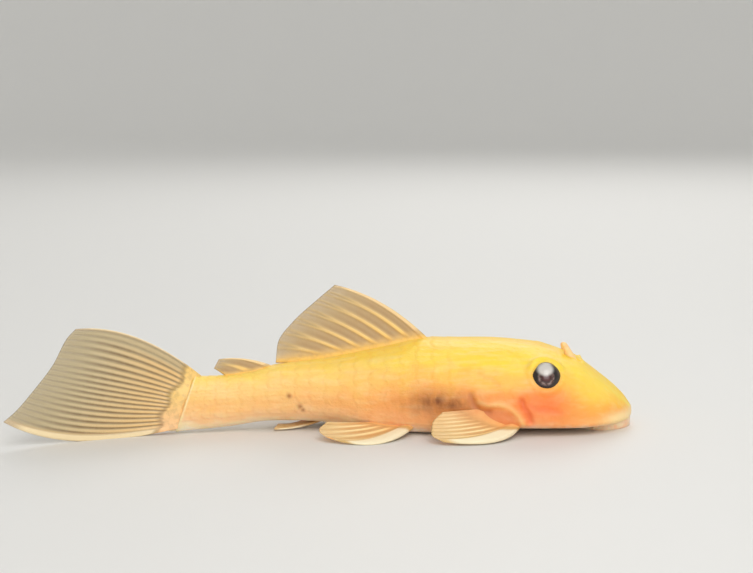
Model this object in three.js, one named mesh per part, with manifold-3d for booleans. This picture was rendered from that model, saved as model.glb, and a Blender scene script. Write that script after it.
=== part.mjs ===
// A female golden bristlenose pleco at life size, resting on its belly with its fins spread.
// Millimetres. +X runs towards the snout, +Y to the fish's left, +Z up, and the floor is z = 0.
// The origin is on the floor under the flat of the belly. Everything is shaped straight along X first,
// and placed() then swings the rear of the fish gently to its right, as it lies in life.
import * as THREE from "three";
import { mergeVertices } from "three/addons/utils/BufferGeometryUtils.js";
import Module from "manifold-3d";

const wasm = await Module();
wasm.setup();

// Driving dimensions
const snoutTipX = 35.2;
const stemEndX = -44.2; // end of the bony tail stem, where the tail fin starts
const stemEndSlope = 0.36; // that end leans forwards towards the back
const stemLeanX = -33; // where the plates start to lean with it
const neckX = 15.6; // where the neck cut meets the underside
const neckSlope = -0.5; // the neck cut leans back towards the nape
const waistX = -16.5; // cut between trunk and tail stem
const gap = 0.3; // between touching pieces
const bendStartX = 2;
const bendRate = 0.0028;
const bendCurl = 0.000008;
const eyeRadius = 3.0;
const eyeCentre = [19.05, 8.5, 9.55];
const nostrilX = 24.6;
const nostrilY = 2.5;
const nostrilFlapLength = 3.2;
const scuteRows = [-30, -3, 20, 42, 65, 90]; // edges of the five rows of plates on a side, in section degrees
const scuteStartX = 6;
const scuteColumns = 20;
const scuteLip = 0.24; // how high the rear edge of a plate stands
const scuteFoot = 0.04; // how high its front edge stands
const scutePoint = 0.55; // how far the middle of its rear edge points backwards
const stepLength = 0.3; // length of the step down from one plate to the next
const discCentreX = 29.3;
const discLength = 5.7;
const discWidth = 6.3;
const discHeight = 2.0;
const mouthDepth = 1.1;
const barbelOffset = 0.9; // its middle lies this far behind the middle of the disc
const membrane = 0.26; // half thickness of the skin between two fin rays

// Small helpers
const radians = (degrees) => (degrees * Math.PI) / 180;
const mix = (a, b, t) => a + (b - a) * t;
const mixPoint = (a, b, t) => a.map((value, i) => mix(value, b[i], t));
const hump = (distance, width) => Math.exp(-((distance / width) ** 2));

// A smooth line through a few (place, size) pairs that never overshoots them.
function lineThrough(points) {
  const slopes = points.slice(1).map((p, i) => (p[1] - points[i][1]) / (p[0] - points[i][0]));
  const tangents = points.map((_, i) => {
    const before = slopes[Math.max(i - 1, 0)];
    const after = slopes[Math.min(i, slopes.length - 1)];
    return before * after <= 0 ? 0 : (2 * before * after) / (before + after);
  });
  return (x) => {
    let i = points.findIndex((p) => p[0] > x) - 1;
    if (i < 0) i = x < points[0][0] ? 0 : points.length - 2;
    const width = points[i + 1][0] - points[i][0];
    const t = Math.min(Math.max((x - points[i][0]) / width, 0), 1);
    const rest = 1 - t;
    return (
      points[i][1] * (1 + 2 * t) * rest * rest +
      tangents[i] * width * t * rest * rest +
      points[i + 1][1] * t * t * (3 - 2 * t) -
      tangents[i + 1] * width * t * t * rest
    );
  };
}

// The sideways bend of the rear of the fish, and the floor that nothing passes
function sideBend(x) {
  const behind = Math.max(0, bendStartX - x);
  return -bendRate * behind ** 2 - bendCurl * behind ** 3;
}
const placed = ([x, y, z]) => [x, y + sideBend(x), Math.max(z, 0)];

// The body's profile, plan and section along X
const backLine = lineThrough([
  [-45, 9.9], [-36, 9.65], [-31, 10.2], [-26.5, 11.35], [-19.3, 12.1], [-8.8, 13.9], [-1, 15.3],
  [8, 15.3], [17.6, 14.5], [24.6, 12.3], [30, 8.6], [33.6, 5.4], [35.2, 3.2],
]);
const bellyLine = lineThrough([
  [-45, 0.3], [-36, 0.7], [-28, 1.5], [-20, 1.3], [-12, -0.2], [11, -0.2],
  [15, 0.9], [31, 0.9], [34, 1.25], [35.2, 2.1],
]);
const wideLine = lineThrough([[-45, 4.8], [-27, 5.8], [-8, 5.2], [8, 4.3], [20, 3], [35.2, 2.6]]);
const crownPower = lineThrough([[-45, 2.3], [-20, 2.1], [8, 2.15], [20.5, 2.5], [28, 2.3], [35.2, 2]]);
const bellyPower = lineThrough([[-45, 2.4], [-20, 2.8], [0, 4], [22, 4], [35.2, 2.6]]);
const trunkWidth = lineThrough([
  [-45, 1.8], [-36, 2.8], [-27, 4.4], [-18, 6.9], [-8, 9.8], [2, 11.7], [11, 12.5], [20, 11.9],
]);
const snoutStartX = 20;
const halfWidth = (x) => {
  if (x <= snoutStartX) return trunkWidth(x);
  const along = Math.min((x - snoutStartX) / (snoutTipX - snoutStartX), 1);
  return trunkWidth(snoutStartX) * Math.max(1 - along ** 2.3, 0.004) ** 0.52;
};

// Low forms of the head: the rim of the eye, the cheek and the fleshy edge of the snout
function headForm(point) {
  const [x, y, z] = point;
  const [eyeX, eyeY, eyeZ] = eyeCentre;
  const fromEye = Math.hypot(x - eyeX, Math.abs(y) - eyeY, z - eyeZ);
  const fromCheek = Math.hypot((x - 19.5) * 0.6, Math.abs(y) - 11.6, z - 3.6);
  return (
    0.2 * hump(fromEye - eyeRadius - 0.4, 0.8) +
    0.35 * hump(fromCheek, 1.8) +
    0.18 * hump(z - 2.2, 0.9) * Math.min(Math.max((x - 21) / 5, 0), 1)
  );
}

// A point of the body's surface, swollen outwards by `swell`
function sectionPoint(x, degrees, swell) {
  const across = Math.cos(radians(degrees));
  const up = Math.sin(radians(degrees));
  const power = 2 / (up > 0 ? crownPower(x) : bellyPower(x));
  const y = Math.sign(across) * Math.abs(across) ** power * halfWidth(x);
  const wide = wideLine(x);
  const reach = up > 0 ? backLine(x) - wide : bellyLine(x) - wide;
  const z = wide + reach * Math.abs(up) ** power;
  return [x, y + across * swell, z + up * swell];
}

// The section angles of a ring: each row of plates has an edge and two inner points, the belly three
const halfRing = [-90, -74, -58, -43];
scuteRows.slice(1).forEach((edge, i) => {
  const start = scuteRows[i];
  halfRing.push(start, mix(start, edge, 0.28), mix(start, edge, 0.72));
});
halfRing.push(90);
const ringAngles = [...halfRing, ...halfRing.slice(1, -1).reverse().map((a) => 180 - a)];
const isPlateEdge = (degrees) => {
  const folded = Math.abs(degrees) > 90 ? 180 - degrees : degrees;
  return folded < scuteRows[0] || scuteRows.includes(folded);
};

// A ring is {x, slope, lift, point}: a slanted slice of the body whose plates stand `lift` proud
const ring = (x, lift = 0, point = 0, slope = 0) => ({ x, lift, point, slope });
function ringPoints({ x, lift, point, slope }, swell) {
  return ringAngles.map((degrees) => {
    const edge = isPlateEdge(degrees);
    const start = x - (edge ? 0 : point);
    let place = start;
    for (let pass = 0; pass < 12; pass++) {
      place = start + slope * (sectionPoint(place, degrees, 0)[2] - 1);
    }
    const proud = edge ? Math.min(lift, scuteFoot) : lift;
    const form = place > neckX - 8 ? headForm(sectionPoint(place, degrees, 0)) : 0;
    return placed(sectionPoint(place, degrees, proud + form + swell));
  });
}

// Solids
function solid(positions, triangles) {
  const geometry = new THREE.BufferGeometry();
  geometry.setAttribute("position", new THREE.Float32BufferAttribute(positions.flat(), 3));
  geometry.setIndex(triangles.flat());
  return solidOf(geometry);
}
function solidOf(geometry) {
  const bare = geometry.clone();
  bare.deleteAttribute("normal");
  bare.deleteAttribute("uv");
  const merged = mergeVertices(bare, 1e-4);
  const made = new wasm.Manifold(
    new wasm.Mesh({
      numProp: 3,
      vertProperties: merged.attributes.position.array,
      triVerts: new Uint32Array(merged.index.array),
    }),
  );
  return made;
}
const largest = (made) =>
  made.decompose().reduce((best, piece) => (piece.volume() > best.volume() ? piece : best));

// A closed body through a row of rings that runs from tail to head, with a flat fan at each end
function loft(rings, swell = 0) {
  const rows = rings.map((one) => ringPoints(one, swell));
  const count = ringAngles.length;
  const positions = rows.flat();
  const triangles = [];
  for (let r = 0; r + 1 < rows.length; r++) {
    for (let i = 0; i < count; i++) {
      const a = r * count + i;
      const b = r * count + ((i + 1) % count);
      triangles.push([a, b, b + count], [a, b + count, a + count]);
    }
  }
  [0, rows.length - 1].forEach((r) => {
    const middle = [0, 1, 2].map((k) => rows[r].reduce((sum, p) => sum + p[k], 0) / count);
    positions.push(middle);
    for (let i = 0; i < count; i++) {
      const a = r * count + i;
      const b = r * count + ((i + 1) % count);
      triangles.push(r === 0 ? [b, a, positions.length - 1] : [a, b, positions.length - 1]);
    }
  });
  return solid(positions, triangles);
}

// The rings of plates, from the tail fin forwards to the nape
const stemLean = (x) => stemEndSlope * Math.min(Math.max((stemLeanX - x) / (stemLeanX - stemEndX), 0), 1) ** 2;
const columnX = (k) => {
  const share = k / scuteColumns;
  return mix(scuteStartX, stemEndX, share * (1.14 - 0.14 * share));
};
const plateRings = [];
for (let k = scuteColumns; k > 0; k--) {
  const rear = columnX(k);
  const front = columnX(k - 1) - stepLength;
  plateRings.push(ring(rear, scuteLip, k === scuteColumns ? 0 : scutePoint, stemLean(rear)));
  plateRings.push(ring(front, scuteFoot, scutePoint, stemLean(front)));
}
const stemRings = [
  ...plateRings.filter((one) => one.x < waistX - 0.5),
  ring(waistX - gap, 0.2),
];
const trunkRings = [
  ring(waistX, 0.2),
  ...plateRings.filter((one) => one.x > waistX + 0.5),
  ring(scuteStartX, scuteLip, scutePoint),
  ring(scuteStartX + 1.2, 0.1, 0, -0.05),
  ring(scuteStartX + 4.2, 0, 0, -0.22),
  ring(scuteStartX + 7, 0, 0, -0.38),
  ring(neckX - gap * 1.12, 0, 0, neckSlope),
];
const headRings = [ring(neckX, 0, 0, neckSlope)];
const headSteps = 22;
for (let i = 1; i <= headSteps; i++) {
  const turn = (i / headSteps) * radians(86);
  const x = mix(neckX, snoutTipX, Math.sin(turn));
  headRings.push(ring(x, 0, 0, neckSlope * (1 - i / headSteps) ** 1.6));
}
const clearBody = loft(
  [ring(stemEndX - gap, scuteLip, 0, stemEndSlope), ...stemRings, ...trunkRings, ...headRings],
  gap,
);

// Fins
// Rays run from base(v) to tip(v), bowed by bow(v), for v from 0 at the leading spine to 1 at the last ray.
// Each ray is a ridge on both faces, and both faces are split into triangles alike.
function fin({ rays, steps, base, tip, bow, spine, ray, root, rootLength, notch, farSpine, rayStart }) {
  const columns = [];
  for (let i = 0; i < rays; i++) {
    const v = i / (rays - 1);
    const side = 0.3 / (rays - 1);
    const isSpine = i === 0 || (farSpine && i === rays - 1);
    const thick = isSpine ? spine : ray;
    const start = isSpine ? 0 : rayStart;
    if (i > 0) columns.push({ v: v - side, thick: membrane, start, notch });
    columns.push({ v, thick, start, notch: 0 });
    if (i < rays - 1) columns.push({ v: v + side, thick: membrane, start, notch });
  }
  const middle = (u, v) => {
    const foot = base(v);
    const end = tip(v);
    const lift = bow(v);
    return foot.map((value, k) => {
      const control = (value + end[k]) / 2 + lift[k];
      return (1 - u) ** 2 * value + 2 * u * (1 - u) * control + u * u * end[k];
    });
  };
  const small = 1e-3;
  const faces = columns.map(({ v, thick, start, notch: cut }) => {
    const row = [];
    for (let j = 0; j <= steps; j++) {
      const u = (j / steps) * (1 - cut);
      const along = new THREE.Vector3(...middle(u + small, v)).sub(
        new THREE.Vector3(...middle(u - small, v)),
      );
      const across = new THREE.Vector3(...middle(u, v + small)).sub(
        new THREE.Vector3(...middle(u, v - small)),
      );
      const normal = along.cross(across).normalize();
      const taper = u < start ? membrane : mix(thick, Math.min(thick, membrane), u);
      const half = taper + (root - taper) * hump(u, rootLength);
      row.push({ at: middle(u, v), normal: normal.toArray(), half });
    }
    return row;
  });
  const across = columns.length;
  const along = steps + 1;
  const positions = [1, -1].flatMap((side) =>
    faces.flatMap((row) =>
      row.map(({ at, normal, half }) => placed(at.map((value, k) => value + side * half * normal[k]))),
    ),
  );
  const vertex = (side, c, r) => side * across * along + c * along + r;
  const triangles = [];
  const quad = (a, b, c, d) => triangles.push([a, b, c], [a, c, d]);
  for (let c = 0; c + 1 < across; c++) {
    for (let r = 0; r + 1 < along; r++) {
      const corners = [[c, r], [c + 1, r], [c + 1, r + 1], [c, r + 1]];
      const [p, q, s, t] = corners.map(([i, j]) => vertex(0, i, j));
      const [P, Q, S, T] = corners.map(([i, j]) => vertex(1, i, j));
      triangles.push([p, s, q], [p, t, s], [P, Q, S], [P, S, T]);
    }
    quad(vertex(0, c, 0), vertex(0, c + 1, 0), vertex(1, c + 1, 0), vertex(1, c, 0));
    quad(vertex(0, c, steps), vertex(1, c, steps), vertex(1, c + 1, steps), vertex(0, c + 1, steps));
  }
  for (let r = 0; r < steps; r++) {
    quad(vertex(0, 0, r), vertex(1, 0, r), vertex(1, 0, r + 1), vertex(0, 0, r + 1));
    const last = across - 1;
    quad(vertex(0, last, r), vertex(0, last, r + 1), vertex(1, last, r + 1), vertex(1, last, r));
  }
  const made = solid(positions, triangles);
  const facingOut = made.volume() > 0 ? made : solid(positions, triangles.map(([a, b, c]) => [a, c, b]));
  return largest(facingOut.subtract(clearBody));
}

// A smooth path through points spread over v from 0 to 1
const pathThrough = (stops) => {
  const lines = [1, 2, 3].map((k) => lineThrough(stops.map((stop) => [stop[0], stop[k]])));
  return (v) => lines.map((line) => line(v));
};
const mirrored = (path, side) => (v) => {
  const [x, y, z] = path(v);
  return [x, y * side, z];
};

const dorsalFin = fin({
  rays: 8,
  steps: 8,
  base: pathThrough([[0, 0.6, 0, 14], [1, -18.2, 0, 10.9]]),
  tip: pathThrough([
    [0, -16.9, 0, 25], [0.3, -20.4, 0, 22.1], [0.6, -24.2, 0, 18.7], [0.85, -26.9, 0, 14.9], [1, -27.3, 0, 11.5],
  ]),
  bow: pathThrough([[0, 0.7, 0, 3.2], [0.5, 0.2, 0, 1.3], [1, 0, 0, 0.3]]),
  spine: 0.6, ray: 0.42, root: 0.8, rootLength: 0.12, notch: 0.015, rayStart: 0,
});

const adiposeFin = fin({
  rays: 3,
  steps: 5,
  base: pathThrough([[0, -26.6, 0, 10.4], [1, -35.2, 0, 8.8]]),
  tip: pathThrough([[0, -37, 0, 12.6], [1, -37.9, 0, 11]]),
  bow: pathThrough([[0, 0.2, 0, 1.6], [1, 0, 0, 0.3]]),
  spine: 0.6, ray: 0.3, root: 0.8, rootLength: 0.2, notch: 0, rayStart: 0,
});

const analFin = fin({
  rays: 5,
  steps: 5,
  base: pathThrough([[0, -17.4, -0.6, 1.9], [1, -21, 0, 2]]),
  tip: pathThrough([[0, -27.6, -3.6, 0.5], [1, -27, -0.4, 0.75]]),
  bow: pathThrough([[0, -0.4, -0.9, -1.2], [1, 0, 0, -1.1]]),
  spine: 0.38, ray: 0.32, root: 0.4, rootLength: 0.1, notch: 0.02, rayStart: 0,
});

const caudalFin = fin({
  rays: 16,
  steps: 10,
  base: pathThrough([[0, -43.4, 0, 1.1], [0.5, -42.4, 0, 5.2], [1, -39.2, 0, 9.1]]),
  tip: pathThrough([
    [0, -71.8, 0, 4.6], [0.12, -70, 0, 6.1], [0.35, -67.2, 0, 9.3],
    [0.65, -64, 0, 13.5], [0.88, -61.7, 0, 17.8], [1, -60.3, 0, 19.3],
  ]),
  bow: pathThrough([[0, -4.1, 0, -5.9], [0.3, -1.5, 0, -2.4], [0.7, -0.4, 0, 1.4], [1, -0.8, 0, 5.6]]),
  spine: 0.6, ray: 0.42, root: 1.5, rootLength: 0.16, notch: 0.015, farSpine: true, rayStart: 0.14,
});

const pectoralBase = pathThrough([[0, 15.2, 9.6, 1.9], [1, 12, 10, 5]]);
const pectoralTip = pathThrough([
  [0, 1.4, 17.6, 0.6], [0.3, -0.6, 16.6, 1.7], [0.65, -0.4, 15, 3.2], [1, 1.4, 13.6, 4.9],
]);
const pectoralBow = pathThrough([[0, 4.4, 5.9, -1.6], [0.5, 1, 2.4, -0.7], [1, 0, 0.9, 0.2]]);
const pelvicBase = pathThrough([[0, -2.6, 8.6, 1.9], [1, -8.4, 8, 2.3]]);
const pelvicTip = pathThrough([
  [0, -15.2, 15.6, 0.5], [0.35, -18.2, 13.9, 1], [0.7, -19.5, 12, 1.9], [1, -18.2, 9.8, 2.8],
]);
const pelvicBow = pathThrough([[0, 1.2, 7.2, -1.9], [0.5, 0.3, 2.8, -0.8], [1, 0, 0.9, -0.2]]);

const pairedFin = (side, base, tip, bow, sizes) =>
  fin({ base: mirrored(base, side), tip: mirrored(tip, side), bow: mirrored(bow, side), ...sizes });
const pectoralFin = (side) =>
  pairedFin(side, pectoralBase, pectoralTip, pectoralBow, {
    rays: 7, steps: 9, spine: 0.7, ray: 0.42, root: 0.9, rootLength: 0.12, notch: 0.015, rayStart: 0,
  });
const pelvicFin = (side) =>
  pairedFin(side, pelvicBase, pelvicTip, pelvicBow, {
    rays: 6, steps: 8, spine: 0.55, ray: 0.4, root: 0.6, rootLength: 0.12, notch: 0.015, rayStart: 0,
  });

// Eyes
const ball = (radius, [x, y, z], detail = 3, scale = [1, 1, 1]) =>
  solidOf(new THREE.IcosahedronGeometry(radius, detail).scale(...scale).translate(x, y, z));
const eyeAt = (side) => [eyeCentre[0], eyeCentre[1] * side, eyeCentre[2]];

// The sucker mouth: a round lip disc that lies on the floor, with its opening and a short barbel at each side
const barbelLength = 2.2;
function discOutline(swell) {
  const shape = new THREE.Shape();
  shape.absellipse(0, 0, discLength + swell, discWidth + swell, 0, 2 * Math.PI);
  return shape;
}
const discBevel = 0.5;
function disc(height, swell) {
  const geometry = new THREE.ExtrudeGeometry(discOutline(swell - discBevel), {
    depth: height - 2 * discBevel,
    bevelThickness: discBevel,
    bevelSize: discBevel,
    bevelSegments: 2,
    curveSegments: 18,
  });
  return solidOf(geometry.translate(discCentreX, 0, discBevel));
}
const barbel = (side, swell) =>
  solidOf(
    new THREE.CylinderGeometry(0.22 + swell, 0.5 + swell, barbelLength + 2 * swell, 8)
      .rotateX(side > 0 ? 0 : Math.PI)
      .rotateZ(radians(35 * side))
      .translate(discCentreX - barbelOffset, side * (discWidth + 0.1), 0.6),
  );
const discWithBarbels = (height, swell) =>
  disc(height, swell).add(barbel(1, swell)).add(barbel(-1, swell));
function suckerMouth() {
  const opening = solidOf(
    new THREE.SphereGeometry(1, 16, 10).scale(1.5, 3.1, mouthDepth).translate(discCentreX + 0.5, 0, 0),
  );
  return largest(discWithBarbels(discHeight, 0).subtract(opening));
}

// The head, with eye sockets, nostrils and their flaps, gill slits and a recess for the lip disc
function tube(points, radius, sides) {
  const path = new THREE.CatmullRomCurve3(points.map((p) => new THREE.Vector3(...p)));
  const section = new THREE.Shape();
  section.absarc(0, 0, radius, 0, 2 * Math.PI);
  return solidOf(
    new THREE.ExtrudeGeometry(section, { steps: 8, extrudePath: path, curveSegments: sides }),
  );
}
const gillSlit = (side) =>
  tube([[17.6, side * 12.9, 6.4], [16.9, side * 13, 4.4], [17.3, side * 12.5, 2.6], [18.4, side * 11, 0.9]], 0.42, 6);
const nostrilTop = (x) => sectionPoint(x, 78, 0)[2];
const nostrilPit = (side) =>
  ball(0.85, [nostrilX, side * nostrilY, nostrilTop(nostrilX) + 0.1], 1, [1, 0.8, 1]);
const nostrilFlap = (side) =>
  solidOf(
    new THREE.CylinderGeometry(0.34, 0.8, nostrilFlapLength, 8)
      .scale(0.6, 1, 1)
      .rotateX(radians(90))
      .rotateY(radians(-35))
      .translate(nostrilX - 1.1, side * nostrilY, nostrilTop(nostrilX - 1) + 0.75),
  );
function head() {
  let made = loft(headRings);
  [1, -1].forEach((side) => {
    made = made
      .add(nostrilFlap(side))
      .subtract(nostrilPit(side))
      .subtract(gillSlit(side))
      .subtract(ball(eyeRadius + gap, eyeAt(side), 3));
  });
  return largest(made.subtract(discWithBarbels(discHeight + gap, gap)));
}

// Colours
const finish = (color, roughness) => new THREE.MeshStandardMaterial({ color, roughness, metalness: 0 });
const flesh = finish(0xf4b64e, 0.45);
const web = finish(0xe6d49a, 0.4);
const lip = finish(0xf2b58a, 0.5);
const iris = finish(0x2a2320, 0.1);

const fish = new THREE.Group();
function show(name, made, material) {
  const mesh = made.getMesh();
  const positions = new Float32Array(mesh.numVert * 3);
  for (let i = 0; i < mesh.numVert; i++) {
    for (let k = 0; k < 3; k++) {
      positions[i * 3 + k] = mesh.vertProperties[i * mesh.numProp + k];
    }
  }
  const geometry = new THREE.BufferGeometry();
  geometry.setAttribute("position", new THREE.BufferAttribute(positions, 3));
  geometry.setIndex(new THREE.BufferAttribute(mesh.triVerts, 1));
  const shown = new THREE.Mesh(geometry, material);
  shown.name = name;
  fish.add(shown);
}

show("head", head(), flesh);
show("sucker_mouth", suckerMouth(), lip);
show("trunk", largest(loft(trunkRings)), flesh);
show("tail_stem", largest(loft(stemRings)), flesh);
show("dorsal_fin", dorsalFin, web);
show("adipose_fin", adiposeFin, web);
show("anal_fin", analFin, web);
show("caudal_fin", caudalFin, web);
[["left", 1], ["right", -1]].forEach(([name, side]) => {
  show("eye_" + name, ball(eyeRadius, eyeAt(side), 3), iris);
  show("pectoral_fin_" + name, pectoralFin(side), web);
  show("pelvic_fin_" + name, pelvicFin(side), web);
});

export default fish;
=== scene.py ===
"""A golden bristlenose pleco, resting on a pale floor with its fins spread."""
import math

import bmesh
import bpy
import numpy as np
from mathutils import Matrix, Vector


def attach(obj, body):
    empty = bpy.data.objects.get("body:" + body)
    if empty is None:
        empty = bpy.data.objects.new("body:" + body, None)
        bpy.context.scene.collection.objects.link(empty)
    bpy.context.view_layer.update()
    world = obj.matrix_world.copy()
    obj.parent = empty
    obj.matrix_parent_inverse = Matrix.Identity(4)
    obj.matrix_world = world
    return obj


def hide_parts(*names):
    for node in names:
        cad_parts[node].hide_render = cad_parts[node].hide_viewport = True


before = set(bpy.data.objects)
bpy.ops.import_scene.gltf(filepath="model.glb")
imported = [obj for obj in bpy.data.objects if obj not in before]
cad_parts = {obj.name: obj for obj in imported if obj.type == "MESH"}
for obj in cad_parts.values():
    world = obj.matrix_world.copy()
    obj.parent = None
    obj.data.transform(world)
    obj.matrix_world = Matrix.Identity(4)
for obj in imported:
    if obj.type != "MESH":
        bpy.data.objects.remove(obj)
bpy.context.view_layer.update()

# Sizes are in millimetres and become metres where a mesh is placed
MM = 0.001
WELD_DISTANCE = 0.0002
SNOUT_TIP_X = 35.2
SNOUT_START_X = 20
STEM_END_X = -44.2
STEM_END_SLOPE = 0.36
STEM_LEAN_X = -33
BEND_START_X = 2
BEND_RATE = 0.0028
BEND_CURL = 0.000008
EYE_RADIUS = 3.0
EYE_CENTRE = (19.05, 8.5, 9.55)
NOSTRIL_X = 24.6
NOSTRIL_Y = 2.5
SCUTE_ROWS = (-30, -3, 20, 42, 65, 90)
SCUTE_START_X = 6
SCUTE_COLUMNS = 20
SCUTE_GROWTH = 0.14  # how much longer the plates are at the nape
SCUTE_BOW = 0.22  # how far each plate's rear edge bulges, in plates
SCUTE_LIP = 0.1
SCUTE_KEEL = 0.04
DISC_CENTRE_X = 29.3
DISC_LENGTH = 5.7
DISC_WIDTH = 6.3
DISC_HEIGHT = 2.0

# Forms of the head and shoulder, drawn in side view as (x, z) and alike on both sides
GILL_SLIT = [(14.9, 6.3), (15.3, 5.2), (16.1, 4.1), (16.4, 3.0)]
CHEEK_FOLD = [(15.6, 5.9), (17.2, 5.0), (19.4, 4.9), (21.6, 4.3)]
EYE_FOLD = [(15.4, 6.6), (17.0, 7.2), (19.4, 7.1), (21.8, 7.5)]
NAPE_FOLD = [(7.9, 10.9), (8.8, 10.3), (9.8, 10.1), (11.2, 9.0)]
AXILLA_FOLD = [(6.3, 7.4), (6.9, 5.9), (7.9, 4.8), (9.4, 4.7)]
GIRDLE_EDGE = [(7.6, 6.2), (9.0, 5.7), (11.0, 5.9), (12.8, 5.3), (14.4, 3.9), (15.1, 2.4)]
SHOULDER_CENTRE = (10.1, 1.8)
SHOULDER_SIZE = (4.9, 3.9)

# Specks of the right side as (centre, size), and dark patches as (centre, size, strength)
SPECKS = [((-24.8, 6.5), 0.42), ((-22.9, 4.7), 0.45), ((-22.4, 4.1), 0.35)]
STAINS = [
    ((1.0, 5.8), (6.8, 2.4), 0.6),
    ((0.2, 6.3), (1.2, 0.9), 0.4),
    ((3.5, 5.9), (1.1, 0.7), 0.3),
    ((-2.4, 6.0), (1.6, 1.0), 0.15),
    ((6.6, 5.4), (1.6, 1.0), 0.3),
]

# Seams between the bones of the head, drawn from above as (x, y) and alike on both sides
HEAD_SUTURES = [
    [(6.6, 0), (9.5, 3.4), (14.5, 5.2), (17.0, 5.0), (21.8, 3.6), (26.5, 3.9)],
    [(15.0, 0), (15.2, 5.0), (13.0, 9.5)],
    [(21.8, 3.6), (20.8, 0)],
    [(14.5, 5.2), (10.0, 8.5), (7.0, 9.0)],
]

# Camera, in millimetres and degrees
CAMERA_PLACE = (-9.4, -308.3, 66.9)
CAMERA_PITCH = 7.83
CAMERA_ROLL = 0.3
LENS = 85


# Curves and masks
def line_through(points):
    """A smooth line through a few (place, size) pairs that never overshoots them."""
    xs, ys = np.array(points, float).T
    slopes = np.diff(ys) / np.diff(xs)
    before = np.concatenate([slopes[:1], slopes])
    after = np.concatenate([slopes, slopes[-1:]])
    product = before * after
    total = np.where(product > 0, before + after, 1)
    tangents = np.where(product > 0, 2 * product / total, 0)

    def line(x):
        x = np.asarray(x, float)
        i = np.clip(np.searchsorted(xs, x, side="right") - 1, 0, len(xs) - 2)
        width = xs[i + 1] - xs[i]
        t = np.clip((x - xs[i]) / width, 0, 1)
        rest = 1 - t
        return (
            ys[i] * (1 + 2 * t) * rest**2
            + tangents[i] * width * t * rest**2
            + ys[i + 1] * t**2 * (3 - 2 * t)
            - tangents[i + 1] * width * t**2 * rest
        )

    return line


def hump(distance, width):
    return np.exp(-((distance / width) ** 2))


def smooth(value, low, high):
    t = np.clip((value - low) / (high - low), 0, 1)
    return t * t * (3 - 2 * t)


def mix(a, b, t):
    return a + (b - a) * t


def side_bend(x):
    behind = np.maximum(0, BEND_START_X - x)
    return -BEND_RATE * behind**2 - BEND_CURL * behind**3


def distance_to_path(points, path):
    """How far each point is from a broken line through a few places."""
    nearest = np.full(len(points), 1e9)
    for start, end in zip(np.array(path[:-1], float), np.array(path[1:], float)):
        along = end - start
        share = np.clip(((points - start) @ along) / (along @ along), 0, 1)
        gaps = np.linalg.norm(points - start - share[:, None] * along, axis=1)
        nearest = np.minimum(nearest, gaps)
    return nearest


def distance_to(points, centre, stretch=(1, 1, 1)):
    return np.linalg.norm((points - np.array(centre)) * np.array(stretch), axis=1)


# The body's profile, plan and section along X
back_line = line_through([
    (-45, 9.9), (-36, 9.65), (-31, 10.2), (-26.5, 11.35), (-19.3, 12.1), (-8.8, 13.9), (-1, 15.3),
    (8, 15.3), (17.6, 14.5), (24.6, 12.3), (30, 8.6), (33.6, 5.4), (35.2, 3.2),
])
belly_line = line_through([
    (-45, 0.3), (-36, 0.7), (-28, 1.5), (-20, 1.3), (-12, -0.2), (11, -0.2),
    (15, 0.9), (31, 0.9), (34, 1.25), (35.2, 2.1),
])
wide_line = line_through([(-45, 4.8), (-27, 5.8), (-8, 5.2), (8, 4.3), (20, 3), (35.2, 2.6)])
crown_power = line_through([(-45, 2.3), (-20, 2.1), (8, 2.15), (20.5, 2.5), (28, 2.3), (35.2, 2)])
belly_power = line_through([(-45, 2.4), (-20, 2.8), (0, 4), (22, 4), (35.2, 2.6)])
trunk_width = line_through([
    (-45, 1.8), (-36, 2.8), (-27, 4.4), (-18, 6.9), (-8, 9.8), (2, 11.7), (11, 12.5), (20, 11.9),
])


def half_width(x):
    along = np.clip((x - SNOUT_START_X) / (SNOUT_TIP_X - SNOUT_START_X), 0, 1)
    snout = trunk_width(SNOUT_START_X) * np.maximum(1 - along**2.3, 0.004) ** 0.52
    return np.where(x <= SNOUT_START_X, trunk_width(x), snout)


def section_point(x, degrees):
    """Points of the plain body, before its bend, from place and section angle."""
    across = np.cos(np.radians(degrees))
    up = np.sin(np.radians(degrees))
    power = 2 / np.where(up > 0, crown_power(x), belly_power(x))
    y = np.sign(across) * np.abs(across) ** power * half_width(x)
    wide = wide_line(x)
    reach = np.where(up > 0, back_line(x) - wide, belly_line(x) - wide)
    z = wide + reach * np.abs(up) ** power
    return np.stack([x, y, z], axis=1)


# Meshes
def finish_piece(name, bm, material, node_names):
    """Makes a piece of a closed bmesh, in place, and ties it to the frame."""
    bmesh.ops.recalc_face_normals(bm, faces=bm.faces)
    mesh = bpy.data.meshes.new(name)
    bm.to_mesh(mesh)
    bm.free()
    mesh.polygons.foreach_set("use_smooth", [True] * len(mesh.polygons))
    mesh.materials.append(material)
    piece = bpy.data.objects.new(name, mesh)
    bpy.context.scene.collection.objects.link(piece)
    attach(piece, "root")
    if node_names:
        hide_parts(*node_names)


def rolled_sheet(around, along, shape):
    """A closed skin: a flat grid rolled round and welded along its seam.

    shape(turn, place) takes two arrays from 0 to 1 and gives the points in millimetres
    and a dictionary of masks to keep on the mesh.
    """
    bm = bmesh.new()
    bmesh.ops.create_grid(bm, x_segments=around, y_segments=along, size=0.5)
    flat = np.array([v.co[:] for v in bm.verts])
    points, masks = shape(flat[:, 0] + 0.5, flat[:, 1] + 0.5)
    for vert, point in zip(bm.verts, points * MM):
        vert.co = point
    for mask_name, values in masks.items():
        layer = bm.verts.layers.float.new(mask_name)
        for vert, value in zip(bm.verts, values):
            vert[layer] = value
    bmesh.ops.remove_doubles(bm, verts=bm.verts, dist=WELD_DISTANCE * MM)
    open_edges = [edge for edge in bm.edges if edge.is_boundary]
    bmesh.ops.holes_fill(bm, edges=open_edges, sides=0)
    return bm


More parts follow.
